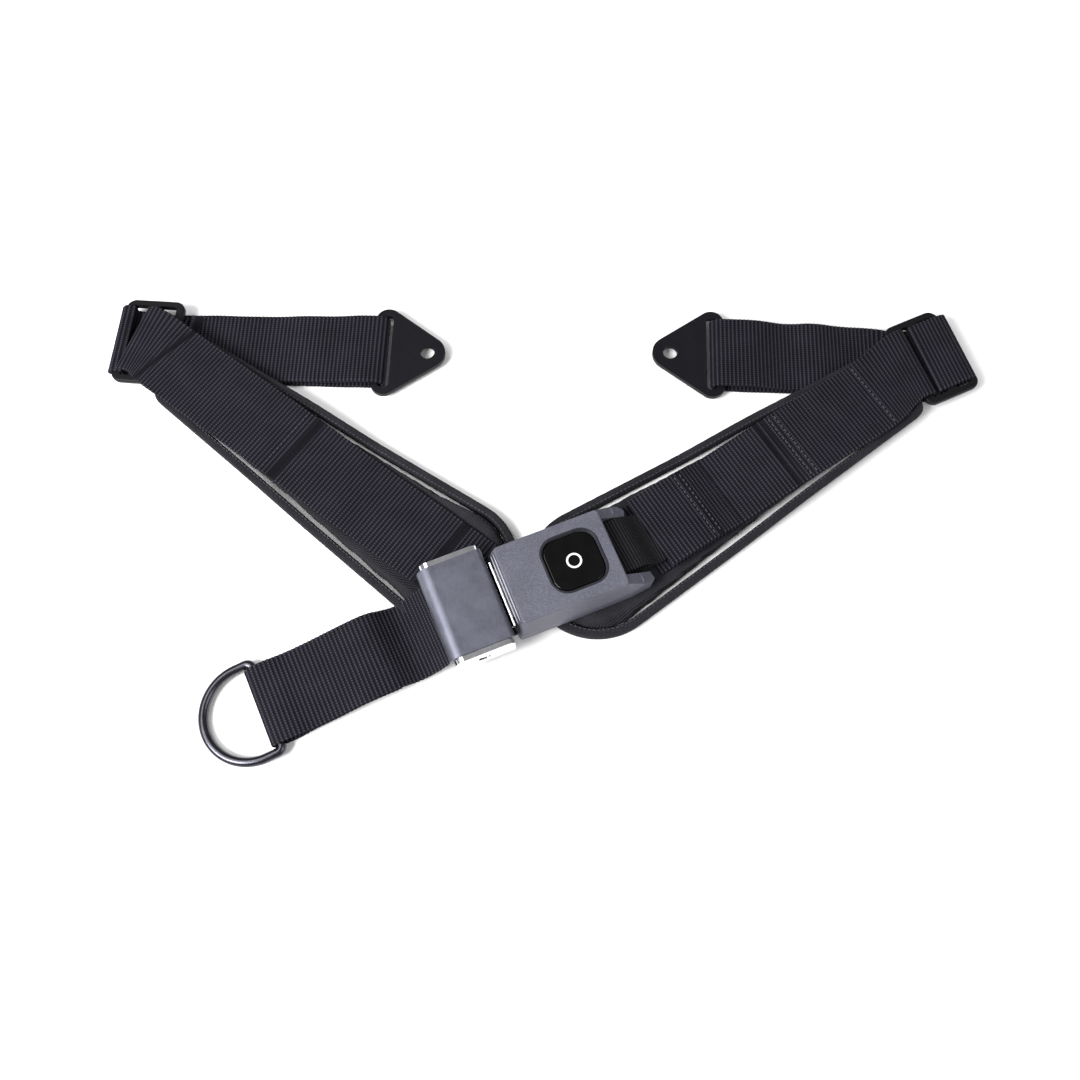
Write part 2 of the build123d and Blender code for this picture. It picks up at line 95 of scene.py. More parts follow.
class Finish:  # a material and the nodes that make it
    def __init__(self, name, roughness=0.5, metallic=0.0, settings=None):
        self.material = bpy.data.materials.new(name)
        self.material.use_nodes = True
        self.tree = self.material.node_tree
        self.shader = self.tree.nodes["Principled BSDF"]
        self.set("Roughness", roughness)
        self.set("Metallic", metallic)
        for key, value in (settings or {}).items():
            self.set(key, value)

    def node(self, kind, settings=None, inputs=None, output=0):
        made = self.tree.nodes.new(kind)
        for key, value in (settings or {}).items():
            if key == "stops":
                ramp = made.color_ramp.elements
                while len(ramp) < len(value):
                    ramp.new(0.5)
                for stop, (place, colour) in zip(ramp, value):
                    stop.position = place
                    stop.color = (*colour, 1)
            else:
                setattr(made, key, value)
        for key, value in (inputs or {}).items():
            self.feed(made.inputs[key], value)
        return Wire(self, made.outputs[output])

    def feed(self, socket, value):
        if isinstance(value, Wire):
            self.tree.links.new(value.socket, socket)
        else:
            socket.default_value = value

    def set(self, socketName, value):
        if isinstance(value, tuple) and len(value) == 3:
            value = (*value, 1) if "Color" in socketName or socketName == "Sheen Tint" else value
        self.feed(self.shader.inputs[socketName], value)

    def place(self, turn=0.0):
        spot = self.node("ShaderNodeTexCoord", output="Object")
        if turn:
            spot = self.node("ShaderNodeMapping", {}, {"Vector": spot, "Rotation": (0, 0, -math.radians(turn))})
        return spot

    def parts(self, vector):
        split = self.tree.nodes.new("ShaderNodeSeparateXYZ")
        self.feed(split.inputs[0], vector)
        return [Wire(self, output) for output in split.outputs]

    def noise(self, size, detail=3.0, vector=None, rough=0.55):
        scale = 1.0 / size
        inputs = {"Vector": vector or self.place(), "Scale": scale, "Detail": detail, "Roughness": rough}
        return self.node("ShaderNodeTexNoise", {}, inputs)

    def blendColours(self, share, first, second):
        mixer = self.tree.nodes.new("ShaderNodeMix")
        mixer.data_type = "RGBA"
        self.feed(mixer.inputs[0], share)
        self.feed(mixer.inputs[6], first if isinstance(first, Wire) else (*first, 1))
        self.feed(mixer.inputs[7], second if isinstance(second, Wire) else (*second, 1))
        return Wire(self, mixer.outputs[2])

    def ramp(self, value, stops):
        return self.node("ShaderNodeValToRGB", {"stops": stops}, {"Fac": value})

    def relief(self, height, distance, strength=1.0):
        inputs = {"Height": height, "Distance": distance, "Strength": strength}
        self.set("Normal", self.node("ShaderNodeBump", {}, inputs))


def webbingFinish(name, look):
    finish = Finish(name, 0.72, 0.0, {"Sheen Weight": 0.01, "Specular IOR Level": 0.08})
    spot = finish.node("ShaderNodeUVMap", {"uv_map": "strap"})
    across, along = finish.parts(spot)[:2]
    pressed = finish.node("ShaderNodeAttribute", {"attribute_name": "pressed"}, output="Fac")
    loose = 1 - pressed * 0.85
    rib = ((along * (2 * math.pi / look["rib"])).sine() * 0.5 + 0.5) * loose
    yarn = (across * (2 * math.pi / look["yarn"])).sine() * 0.5 + 0.5
    cloud = finish.noise(14 * mm, 2.0)
    fuzz = finish.noise(0.35 * mm, 2.0)
    speck = finish.noise(0.9 * mm, 3.0)
    # painted shade: the colour is darkened by up to 40% along rows pressed down where the band is sewn
    light = (rib.power(1.6) * (yarn * 0.62 + 0.34) + fuzz * 0.34 + cloud * 0.3 - 0.2) * (1 - pressed * 0.4)
    # colour runs from painted groove shade through the yarn's own colour to painted crest highlight
    colour = finish.ramp(light, [(0.0, look["grooveShade"]), (0.45, look["middle"]), (1.0, look["crestHighlight"])])
    finish.set("Base Color", finish.blendColours((speck > 0.69) * 0.3, colour, look["lint"]))
    finish.set("Roughness", 0.62 + fuzz * 0.25)
    finish.relief(rib * 0.35 + rib * yarn * 0.75 + fuzz * 0.35, 0.22 * mm, 0.85)
    return finish.material


def clothFinish(name, look, turn):
    finish = Finish(name, 0.85, 0.0, {"Sheen Weight": 0.01, "Specular IOR Level": 0.08})
    x, y, z = finish.parts(finish.place(turn))
    rate = 2 * math.pi / look["thread"]
    warp = ((x + z) * rate).sine() * 0.5 + 0.5
    weft = ((y + z * 0.7) * rate).sine() * 0.5 + 0.5
    weave = warp * (1 - weft) + weft * (1 - warp)
    cloud = finish.noise(18 * mm, 3.0)
    fuzz = finish.noise(0.4 * mm, 2.0)
    light = weave * 0.75 + fuzz * 0.35 + cloud * 0.35 - 0.28
    finish.set("Base Color", finish.ramp(light, [(0.0, look["deep"]), (0.5, look["body"]), (1.0, look["tip"])]))
    finish.set("Roughness", 0.75 + fuzz * 0.2)
    finish.relief(weave * 0.8 + fuzz * 0.35, look.get("relief", 0.3 * mm), 1.0)
    return finish.material


def mouldedFinish(name, look):
    settings = {"Specular IOR Level": look.get("specular", 0.5)}
    finish = Finish(name, look["rough"], look.get("metal", 0.0), settings)
    grain = finish.noise(look["grain"], 3.0)
    pitInputs = {"Vector": finish.place(), "Scale": 1 / (look["grain"] * 1.6)}
    pits = finish.node("ShaderNodeTexVoronoi", {}, pitInputs)
    cloud = finish.noise(22 * mm, 3.0)
    share = grain * 0.75 + cloud * 0.35 + pits * 0.25 - 0.2
    finish.set("Base Color", finish.ramp(share, [(0.15, look["dark"]), (0.85, look["light"])]))
    finish.set("Roughness", look["rough"] - 0.08 + grain * 0.18 + cloud * 0.05)
    finish.relief(grain * 0.6 + pits * 0.5, look["depth"], look.get("bump", 0.6))
    return finish.material


def metalFinish(name, look):
    finish = Finish(name, look["rough"], look.get("metal", 1.0))
    cloud = finish.noise(look.get("cloud", 9 * mm), 3.0)
    stretched = finish.node("ShaderNodeMapping", {}, {
        "Vector": finish.place(look.get("turn", 0.0)), "Scale": look.get("stretch", (1, 1, 1))})
    brushed = finish.noise(look["scratch"], 4.0, stretched)
    share = cloud * 0.6 + brushed * 0.4
    finish.set("Base Color", finish.ramp(share, [(0.25, look["dark"]), (0.75, look["light"])]))
    finish.set("Roughness", look["rough"] + (brushed - 0.5) * look.get("uneven", 0.12) + (cloud - 0.5) * 0.08)
    finish.relief(brushed, look.get("depth", 0.02 * mm), look.get("bump", 0.25))
    return finish.material


def glossFinish(name, look):
    finish = Finish(name, look["rough"], 0.0, {"Coat Roughness": 0.04, "Specular IOR Level": 0.15})
    cloud = finish.noise(7 * mm, 3.0)
    wear = finish.noise(0.5 * mm, 4.0)
    finish.set("Base Color", finish.ramp(cloud, [(0.3, look["dark"]), (0.8, look["light"])]))
    finish.set("Coat Weight", look["coat"] + cloud * 0.1)
    finish.set("Roughness", look["rough"] + (wear > 0.62) * 0.12)
    finish.relief(wear, 0.01 * mm, 0.2)
    return finish.material


pullAxis = joints["tongue_release"]["axis"]
buckleTurn = math.degrees(math.atan2(-pullAxis[1], -pullAxis[0]))

# yarn colours run from painted shade in the grooves between ribs to a painted highlight on their crests
webLook = {
    "rib": 2.0 * mm, "yarn": 1.25 * mm, "grooveShade": (0.0022, 0.0021, 0.0034), "middle": (0.0100, 0.0097, 0.0138),
    "crestHighlight": (0.043, 0.041, 0.056), "lint": (0.050, 0.050, 0.062),
}
narrowLook = {**webLook, "rib": 1.5 * mm, "yarn": 1.1 * mm, "middle": (0.0100, 0.0100, 0.0112),
              "crestHighlight": (0.034, 0.034, 0.038)}
padLook = {"thread": 1.1 * mm, "deep": (0.0030, 0.0030, 0.0038), "body": (0.0170, 0.0170, 0.0205),
           "tip": (0.075, 0.075, 0.088)}
bindingLook = {"thread": 0.85 * mm, "deep": (0.0035, 0.0035, 0.0045), "body": (0.0170, 0.0170, 0.0205),
               "tip": (0.068, 0.068, 0.080)}
threadLook = {"thread": 0.4 * mm, "deep": (0.02, 0.02, 0.024), "body": (0.06, 0.06, 0.07),
              "tip": (0.12, 0.12, 0.13), "relief": 0.08 * mm}

finishes = {
    "webbing": webbingFinish("ribbedWebbing", webLook),
    "narrowWebbing": webbingFinish("narrowWebbing", narrowLook),
    "leftCloth": clothFinish("padCloth", padLook, 25),
    "rightCloth": clothFinish("padClothRight", padLook, -10),
    "binding": clothFinish("bindingTape", bindingLook, 45),
    "thread": clothFinish("stitchThread", threadLook, 10),
    "shell": mouldedFinish("grainedShell", {
        "grain": 0.45 * mm, "dark": (0.038, 0.038, 0.052), "light": (0.135, 0.136, 0.175), "rough": 0.52,
        "depth": 0.12 * mm, "bump": 0.7, "specular": 0.35}),
    # painted highlight: a much paler copy of the grained shell plastic, so the mouth ridges read as bright lit
    # lines
    "ridgeHighlight": mouldedFinish("mouthRidgeHighlight", {
        "grain": 0.4 * mm, "dark": (0.20, 0.20, 0.24), "light": (0.42, 0.42, 0.48), "rough": 0.36,
        "depth": 0.03 * mm, "specular": 0.5}),
    "inner": mouldedFinish("innerPlastic", {
        "grain": 0.6 * mm, "dark": (0.012, 0.012, 0.014), "light": (0.035, 0.035, 0.04), "rough": 0.5,
        "depth": 0.04 * mm}),
    "slide": mouldedFinish("slidePlastic", {
        "grain": 0.5 * mm, "dark": (0.0030, 0.0030, 0.0036), "light": (0.009, 0.009, 0.011), "rough": 0.42,
        "depth": 0.04 * mm, "bump": 0.4, "specular": 0.12}),
    "plate": mouldedFinish("coatedPlate", {
        "grain": 0.35 * mm, "dark": (0.0030, 0.0030, 0.0042), "light": (0.010, 0.010, 0.013), "rough": 0.38,
        "depth": 0.03 * mm, "bump": 0.4, "specular": 0.12}),
    "cover": metalFinish("satinCover", {
        "rough": 0.46, "metal": 0.8, "dark": (0.085, 0.087, 0.112), "light": (0.15, 0.153, 0.190),
        "scratch": 0.5 * mm, "turn": buckleTurn, "stretch": (1, 0.25, 1), "uneven": 0.2, "bump": 0.3}),
    "chrome": metalFinish("brightChrome", {
        "rough": 0.14, "dark": (0.55, 0.56, 0.59), "light": (0.76, 0.76, 0.78), "scratch": 0.8 * mm,
        "uneven": 0.06, "bump": 0.08}),
    "rim": metalFinish("darkRim", {
        "rough": 0.34, "metal": 0.6, "dark": (0.020, 0.020, 0.026), "light": (0.050, 0.050, 0.062),
        "scratch": 0.5 * mm}),
    "zinc": metalFinish("zincSteel", {
        "rough": 0.38, "dark": (0.42, 0.42, 0.43), "light": (0.62, 0.62, 0.63), "scratch": 0.6 * mm,
        "cloud": 4 * mm, "uneven": 0.2}),
    "spring": metalFinish("springSteel", {
        "rough": 0.22, "dark": (0.32, 0.32, 0.33), "light": (0.5, 0.5, 0.51), "scratch": 0.3 * mm}),
    "ring": metalFinish("darkRing", {
        "rough": 0.24, "dark": (0.030, 0.030, 0.036), "light": (0.075, 0.075, 0.088), "scratch": 0.7 * mm,
        "uneven": 0.1, "bump": 0.15}),
    "button": glossFinish("glossButton", {
        "rough": 0.16, "coat": 0.1, "dark": (0.0008, 0.0008, 0.001), "light": (0.002, 0.002, 0.0024)}),
    "mark": glossFinish("buttonMark", {
        "rough": 0.3, "coat": 0.5, "dark": (0.62, 0.62, 0.62), "light": (0.75, 0.75, 0.75)}),
}
print("finishes made:", len(finishes))


# CAD parts that stay, each with its finish

keptParts = {
    "shell": ["top_cover", "bottom_cover"],
    "rim": ["button_bezel"],
    "zinc": ["cover_screws", "latch_frame", "pawl_pin", "anchor_pin", "latch_pawl"],
    "spring": ["button_spring", "pawl_spring", "ejector_spring"],
    "inner": ["ejector"],
    "button": ["push_button"],
    "mark": ["button_mark"],
    "chrome": ["tongue_plate", "adjuster_bar"],
    "cover": ["tongue_cover"],
    "ring": ["d_ring"],
    "slide": ["left_slide", "right_slide"],
    "plate": ["left_end_plate", "right_end_plate"],
}
for finishName, names in keptParts.items():
    for name in names:
        mesh = nodes[name].data
        mesh.materials.clear()
        mesh.materials.append(finishes[finishName])
print("kept parts finished")


# helpers for soft pieces

def finishPiece(piece, body, material, standsFor=()):
    piece.data.materials.clear()
    piece.data.materials.append(finishes[material])
    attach(piece, body)
    if standsFor:
        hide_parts(*standsFor)
    return piece


def points(mesh):
    spots = np.zeros(len(mesh.vertices) * 3)
    mesh.vertices.foreach_get("co", spots)
    return spots.reshape(-1, 3)


def setPoints(mesh, spots):
    mesh.vertices.foreach_set("co", np.asarray(spots, np.float32).ravel())
    mesh.update()


def heading(turn):
    return Vector((math.cos(math.radians(turn)), math.sin(math.radians(turn)), 0))


def side(turn):
    return Vector((-math.sin(math.radians(turn)), math.cos(math.radians(turn)), 0))


def laid(origin, turn, steps, skew=0.0):
    # route stations (middle, sideways direction) from (along, height, lean) steps in one upright plane
    go = heading(turn)
    over = side(turn + skew)
    stations = []
    for step in steps:
        middle = Vector((origin[0], origin[1], 0)) + go * step[0] + Vector((0, 0, step[1]))
        lean = step[2] if len(step) > 2 else 0.0
        stations.append((middle, over + Vector((0, 0, lean))))
    return stations


def smoothRoute(stations, spacing):
    # quadratic B-spline guided by the stations, resampled at an even spacing
    control = np.array([[*middle, *over] for middle, over in stations])
    control = np.vstack([2 * control[0] - control[1], control, 2 * control[-1] - control[-2]])
    share = np.linspace(0, 1, 60, endpoint=False)[:, None]
    pieces = []
    for a, b, c in zip(control[:-2], control[1:-1], control[2:]):
        pieces.append(0.5 * ((1 - share) ** 2 * a + (1 + 2 * share - 2 * share ** 2) * b + share ** 2 * c))
    line = np.vstack(pieces)
    gaps = np.linalg.norm(np.diff(line[:, :3], axis=0), axis=1)
    travelled = np.concatenate([[0], np.cumsum(gaps)])
    count = max(8, int(round(travelled[-1] / spacing)))
    even = np.linspace(0, travelled[-1], count)
    return np.stack([np.interp(even, travelled, line[:, k]) for k in range(6)], axis=1), even


def bandSection(width, thick, columns):
    # flat oval section of (sideways, up, 1 on a face or 0 on an edge), starting at the top left
    edge = thick / 2
    half = width / 2 - edge
    spots = []
    for k in range(columns + 1):
        spots.append((-half + 2 * half * k / columns, edge, 1))
    for turn in (60, 30, 0, -30, -60):
        spots.append((half + edge * math.cos(math.radians(turn)), edge * math.sin(math.radians(turn)), 0))
    for k in range(columns + 1):
        spots.append((half - 2 * half * k / columns, -edge, 1))
    for turn in (240, 210, 180, 150, 120):
        spots.append((-half + edge * math.cos(math.radians(turn)), edge * math.sin(math.radians(turn)), 0))
    return spots


bandShape = {"rowsPerRib": 4, "sway": (61 * mm, 37 * mm, 23 * mm), "pressedBy": 0.45 * mm,
             "fullPress": 0.5 * mm, "edgeNudge": 0.12 * mm, "table": 0.03 * mm}


def weaveBand(name, stations, look, rib=2.0 * mm, columns=12, wave=0.0, seed=1, presses=()):
    # a rolled grid becomes a closed band of ribbed webbing along a route, pressed down where it is sewn; the
    # pressed rows are also stored as a mark that paints shade there
    route, travelled = smoothRoute(stations, rib / bandShape["rowsPerRib"])
    section = bandSection(look["width"], look["thick"], columns)
    count = len(section)
    rows = len(route)
    bpy.ops.mesh.primitive_grid_add(x_subdivisions=count, y_subdivisions=rows - 1, size=1)
    band = bpy.context.object
    band.name = name
    mesh = band.data
    middle = route[:, :3]
    forward = np.gradient(middle, axis=0)
    forward /= np.linalg.norm(forward, axis=1)[:, None]
    over = route[:, 3:] / np.linalg.norm(route[:, 3:], axis=1)[:, None]
    up = np.cross(forward, over)
    up /= np.linalg.norm(up, axis=1)[:, None]
    ripple = np.sin(2 * np.pi * travelled / rib)
    draw = np.random.default_rng(seed)
    phases = draw.uniform(0, 6.28, 3)
    sway = sum(np.sin(2 * np.pi * travelled / length + phase)
               for length, phase in zip(bandShape["sway"], phases)) / 3
    halfThick = look["thick"] / 2
    closed = section + section[:1]
    spots = np.zeros((rows, count + 1, 3))
    sewn = np.zeros((rows, count + 1))
    for k, (sideways, rise, flat) in enumerate(closed):
        for place, wide, depth, tilt in presses:
            gap = np.abs(travelled - place - tilt * sideways)
            pressed = np.clip(1.4 - gap / (wide / 2), 0, 1) * min(1, depth / bandShape["fullPress"])
            sewn[:, k] = np.maximum(sewn[:, k], pressed)
        swell = 1 + flat * look["ribHeight"] / halfThick * (ripple - 0.6) * (1 - sewn[:, k])
        if rise > 0:
            swell = swell - sewn[:, k] * bandShape["pressedBy"] / halfThick
        crown = wave * sway * (0.4 + 0.6 * (sideways / look["width"] * 2) ** 2)
        nudge = 0 if flat else bandShape["edgeNudge"] * ripple * np.sign(sideways)
        reach = np.full(rows, sideways) + nudge
        spots[:, k] = middle + over * reach[:, None] + up * (rise * swell + crown)[:, None]
    spots[:, :, 2] = np.maximum(spots[:, :, 2], bandShape["table"])
    setPoints(mesh, spots.reshape(-1, 3))
    steps = [math.hypot(b[0] - a[0], b[1] - a[1]) for a, b in zip(closed[:-1], closed[1:])]
    around = np.concatenate([[0], np.cumsum(steps)])
    # mark of the pressed rows, read by the webbing finish to paint shade along the sewn bands
    mark = mesh.attributes.new("pressed", "FLOAT", "POINT")
    mark.data.foreach_set("value", sewn.astype(np.float32).ravel())
    layer = mesh.uv_layers[0]
    layer.name = "strap"
    corners = np.zeros(len(mesh.loops), int)
    mesh.loops.foreach_get("vertex_index", corners)
    unrolled = np.stack([around[corners % (count + 1)], travelled[corners // (count + 1)]], axis=1)
    layer.data.foreach_set("uv", unrolled.astype(np.float32).ravel())
    bpy.ops.object.mode_set(mode="EDIT")
    bpy.ops.mesh.select_all(action="SELECT")
    bpy.ops.mesh.remove_doubles(threshold=0.01 * mm)
    bpy.ops.mesh.select_all(action="DESELECT")
    bpy.ops.mesh.select_non_manifold(extend=False)
    bpy.ops.mesh.fill_holes(sides=0)
    bpy.ops.mesh.select_all(action="SELECT")
    bpy.ops.mesh.normals_make_consistent(inside=False)
    bpy.ops.object.mode_set(mode="OBJECT")
    bpy.ops.object.shade_smooth()
    bpy.ops.object.select_all(action="DESELECT")
    return band


def stitchRow(name, starts, ends, radius):
    # thread between needle holes: short capsules, one between each pair of points
    bpy.ops.mesh.primitive_uv_sphere_add(segments=8, ring_count=6, radius=1)
    master = bpy.context.object
    shape = points(master.data)
    shape[:, 2] = np.sign(shape[:, 2]) * np.abs(shape[:, 2]) ** 0.6
    copies = []
    up = Vector((0, 0, 1))
    for start, end in zip(starts, ends):
        ahead = (end - start).normalized()
        across = up.cross(ahead).normalized()
        rise = ahead.cross(across)
        centre = (start + end) / 2
        half = (end - start).length / 2
        copy = master.data.copy()
        turned = (np.outer(shape[:, 2] * half, ahead) + np.outer(shape[:, 0] * radius, across)
                  + np.outer(shape[:, 1] * radius, rise))
        setPoints(copy, turned + np.array(centre))
        stitch = bpy.data.objects.new(name, copy)
        bpy.context.scene.collection.objects.link(stitch)
        copies.append(stitch)
    bpy.ops.object.select_all(action="DESELECT")
    for stitch in copies:
        stitch.select_set(True)
    bpy.context.view_layer.objects.active = copies[0]
    bpy.ops.object.join()
    row = bpy.context.object
    row.name = name
    bpy.data.objects.remove(master)
    bpy.ops.object.shade_smooth()
    bpy.ops.object.select_all(action="DESELECT")
    return row


def needlePoints(corners, pitch, gap=0.28):
    # start and end points of the stitches along a line of corners
    starts, ends = [], []
    for a, b in zip(corners[:-1], corners[1:]):
        length = (b - a).length
        count = max(1, int(round(length / pitch)))
        for k in range(count):
            starts.append(a.lerp(b, (k + gap / 2) / count))
            ends.append(a.lerp(b, (k + 1 - gap / 2) / count))
    return starts, ends


# pads

pads = {
    "left": {"turn": 143.7, "length": 190 * mm, "shown": 172 * mm, "body": "left_half", "cloth": "leftCloth"},
    "right": {"turn": 32.8, "length": 183 * mm, "shown": 183 * mm, "body": "right_half", "cloth": "rightCloth"},
}
padShape = {"round": 32.5 * mm, "endHalf": 20.3 * mm, "corner": 5 * mm, "border": 4.0 * mm, "top": 7.0 * mm,
            "lift": 4.1 * mm, "liftFrom": 58 * mm, "liftTo": 112 * mm, "web": 38 * mm}


def padCentre(name):
    low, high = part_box(name + "_pad_binding")
    r = padShape["round"]
    return Vector((high.x - r if name == "left" else low.x + r, low.y + r, 0))


def padLift(along):
    share = np.clip((along - padShape["liftFrom"]) / (padShape["liftTo"] - padShape["liftFrom"]), 0, 1)
    return padShape["lift"] * share * share * (3 - 2 * share)


def padOutline(length, inset, count):
    # teardrop round the pad: one large arc, two small ones and the straight sides between them
    big = padShape["round"] - inset
    small = max(padShape["corner"] - inset, 1 * mm)
    end = length - inset - small
    half = padShape["endHalf"] - inset - small
    contact = math.atan2(half, end) + math.acos((big - small) / math.hypot(end, half))
    line = []
    for k in range(13):
        turn = contact * k / 12
        line.append((end + small * math.cos(turn), half + small * math.sin(turn)))
    for k in range(65):
        turn = contact + (2 * math.pi - 2 * contact) * k / 64
        line.append((big * math.cos(turn), big * math.sin(turn)))
    for k in range(13):
        turn = -contact + contact * k / 12
        line.append((end + small * math.cos(turn), -half + small * math.sin(turn)))
    line = np.array(line + line[:1])
    travelled = np.concatenate([[0], np.cumsum(np.linalg.norm(np.diff(line, axis=0), axis=1))])
    even = np.linspace(0, travelled[-1], count, endpoint=False)
    return np.stack([np.interp(even, travelled, line[:, k]) for k in range(2)], axis=1), travelled[-1]


def padPlace(name, local):
    turn = math.radians(pads[name]["turn"])
    centre = padCentre(name)
    x = centre.x + local[:, 0] * math.cos(turn) - local[:, 1] * math.sin(turn)
    y = centre.y + local[:, 0] * math.sin(turn) + local[:, 1] * math.cos(turn)
    return np.stack([x, y, local[:, 2]], axis=1)


def padLocal(name, spots):
    turn = math.radians(pads[name]["turn"])
    x, y = spots[:, 0] - padCentre(name).x, spots[:, 1] - padCentre(name).y
    along = x * math.cos(turn) + y * math.sin(turn)
    across = y * math.cos(turn) - x * math.sin(turn)
    return np.stack([along, across, spots[:, 2]], axis=1)


cushionLook = {"voxel": 2.6 * mm, "frames": 20, "pressure": 4.0, "cap": 3 * mm, "crown": 1.3 * mm,
               "pinch": 1.6 * mm, "rimFade": 9 * mm, "webFade": 5 * mm, "roundFade": 8 * mm}


def padCushion(name):
    pad = pads[name]
    cushion = nodes[name + "_pad_foam"].copy()
    cushion.data = nodes[name + "_pad_foam"].data.copy()
    cushion.parent = None
    for key in list(cushion.keys()):
        del cushion[key]
    cushion.name = name + "PadCushion"
    bpy.context.scene.collection.objects.link(cushion)
    cushion.select_set(True)
    bpy.context.view_layer.objects.active = cushion
    bpy.ops.object.mode_set(mode="EDIT")
    bpy.ops.mesh.select_all(action="SELECT")
    bpy.ops.mesh.remove_doubles(threshold=0.02 * mm)
    bpy.ops.object.mode_set(mode="OBJECT")
    remesh = cushion.modifiers.new("even", "REMESH")
    remesh.mode = "VOXEL"
    remesh.voxel_size = cushionLook["voxel"]
    bpy.ops.object.modifier_apply(modifier="even")
    rest = points(cushion.data)
    cloth = cushion.modifiers.new("swell", "CLOTH")
    cloth.settings.use_pressure = True
    cloth.settings.uniform_pressure_force = cushionLook["pressure"]
    cloth.settings.effector_weights.gravity = 0
    cloth.settings.quality = 6
    for number in range(1, cushionLook["frames"] + 1):
        bpy.context.scene.frame_set(number)
    bpy.ops.object.modifier_apply(modifier="swell")
    bpy.context.scene.frame_set(1)
    swollen = points(cushion.data)
    moved = swollen - rest
    far = np.linalg.norm(moved, axis=1, keepdims=True)
    swollen = rest + moved * np.minimum(1, cushionLook["cap"] / np.maximum(far, 1e-9))
    setPoints(cushion.data, swollen)
    for again in range(2):
        smooth = cushion.modifiers.new("soft", "SUBSURF")
        smooth.levels = smooth.render_levels = 1
        bpy.ops.object.modifier_apply(modifier="soft")
    local = padLocal(name, points(cushion.data))
    along, across = local[:, 0], local[:, 1]
    height = local[:, 2] - padLift(along)
    distance = edgeDistance(local[:, :2], pad["length"])
    beyond = np.clip((np.abs(across) - padShape["web"] / 2 + 1.5 * mm) / cushionLook["webFade"], 0, 1)
    atRound = np.clip(-along / cushionLook["roundFade"], 0, 1)
    free = np.maximum(beyond, atRound)
    toEdge = np.clip((distance - padShape["border"]) / cushionLook["rimFade"], 0, 1)
    ceiling = padShape["top"] - 0.05 * mm + cushionLook["crown"] * free * np.sin(np.pi * toEdge) ** 0.8
    ceiling -= cushionLook["pinch"] * (1 - toEdge) ** 3
    middle = padShape["top"] / 2
    upper = height > middle
    stretch = np.where(upper, (ceiling - middle) / (6.2 * mm - middle), 1.05)
    height = np.where(upper, np.minimum(middle + (height - middle) * stretch, ceiling),
                      np.maximum(middle + (height - middle) * stretch, 0.1 * mm))
    local[:, 2] = height + padLift(along)
    setPoints(cushion.data, padPlace(name, local))
    bpy.ops.object.shade_smooth()
    bpy.ops.object.select_all(action="DESELECT")
    finishPiece(cushion, pad["body"], pad["cloth"],
                [name + "_pad_backing", name + "_pad_foam", name + "_pad_face"])
    return cushion


def edgeDistance(spots, length):
    # how far inside the pad's outline each point is
    line = padOutline(length, 0, 240)[0]
    gap = np.full(len(spots), 1.0)
    for a, b in zip(line, np.roll(line, -1, axis=0)):
        step = b - a
        share = np.clip(((spots - a) @ step) / (step @ step), 0, 1)
        gap = np.minimum(gap, np.linalg.norm(spots - a - share[:, None] * step, axis=1))
    return gap


bindingShape = {"width": 4.7 * mm, "low": 0.25 * mm, "high": 6.0 * mm, "round": 0.55, "pucker": 0.12 * mm,
                "puckerPitch": 6.9 * mm, "around": 250, "ring": 14}


def padBinding(name):
    pad = pads[name]
    count, ringCount = bindingShape["around"], bindingShape["ring"]
    line, total = padOutline(pad["shown"], bindingShape["width"] / 2, count)
    bpy.ops.mesh.primitive_torus_add(major_segments=count, minor_segments=ringCount)
    tape = bpy.context.object
    tape.name = name + "PadBinding"
    ahead = np.roll(line, -1, axis=0) - np.roll(line, 1, axis=0)
    ahead /= np.linalg.norm(ahead, axis=1)[:, None]
    outward = np.stack([ahead[:, 1], -ahead[:, 0]], axis=1)
    travelled = np.linspace(0, total, count, endpoint=False)
    middle = (bindingShape["low"] + bindingShape["high"]) / 2
    tall = (bindingShape["high"] - bindingShape["low"]) / 2
    wide = bindingShape["width"] / 2
    spots = np.zeros((count, ringCount, 3))
    pucker = bindingShape["pucker"] * np.sin(2 * np.pi * travelled / bindingShape["puckerPitch"])
    for k in range(ringCount):
        turn = 2 * math.pi * k / ringCount
        c, s = math.cos(turn), math.sin(turn)
        sideways = wide * math.copysign(abs(c) ** bindingShape["round"], c)
        rise = tall * math.copysign(abs(s) ** bindingShape["round"], s)
        grip = 1.0 if (c < -0.2 and s > 0.2) else 0.35
        spots[:, k, :2] = line + outward * (sideways + pucker * 0.3)[:, None]
        spots[:, k, 2] = middle + rise + (0.5 * mm * c if s > 0 else 0) + pucker * grip + padLift(line[:, 0])
    setPoints(tape.data, padPlace(name, spots.reshape(-1, 3)))
    bpy.ops.object.mode_set(mode="EDIT")
    bpy.ops.mesh.select_all(action="SELECT")
    bpy.ops.mesh.normals_make_consistent(inside=False)
    bpy.ops.object.mode_set(mode="OBJECT")
    smooth = tape.modifiers.new("soft", "SUBSURF")
    smooth.levels = smooth.render_levels = 1
    bpy.ops.object.modifier_apply(modifier="soft")
    bpy.ops.object.shade_smooth()
    bpy.ops.object.select_all(action="DESELECT")
    finishPiece(tape, pad["body"], "binding", [name + "_pad_binding"])
    return tape


def bindingStitches(name):
    pad = pads[name]
    line = padOutline(pad["shown"], 3.5 * mm, 220)[0]
    height = bindingShape["high"] - 0.1 * mm + padLift(line[:, 0])
    placed = padPlace(name, np.column_stack([line, height]))
    corners = [Vector(spot) for spot in placed] + [Vector(placed[0])]
    starts = [a.lerp(b, 0.12) for a, b in zip(corners[:-1], corners[1:])]
    ends = [a.lerp(b, 0.85) for a, b in zip(corners[:-1], corners[1:])]
    row = stitchRow(name + "PadStitches", starts, ends, 0.28 * mm)
    return finishPiece(row, pad["body"], "thread")


for name in pads:
    padCushion(name)
    padBinding(name)
    bindingStitches(name)
print("pads sewn")


# straps

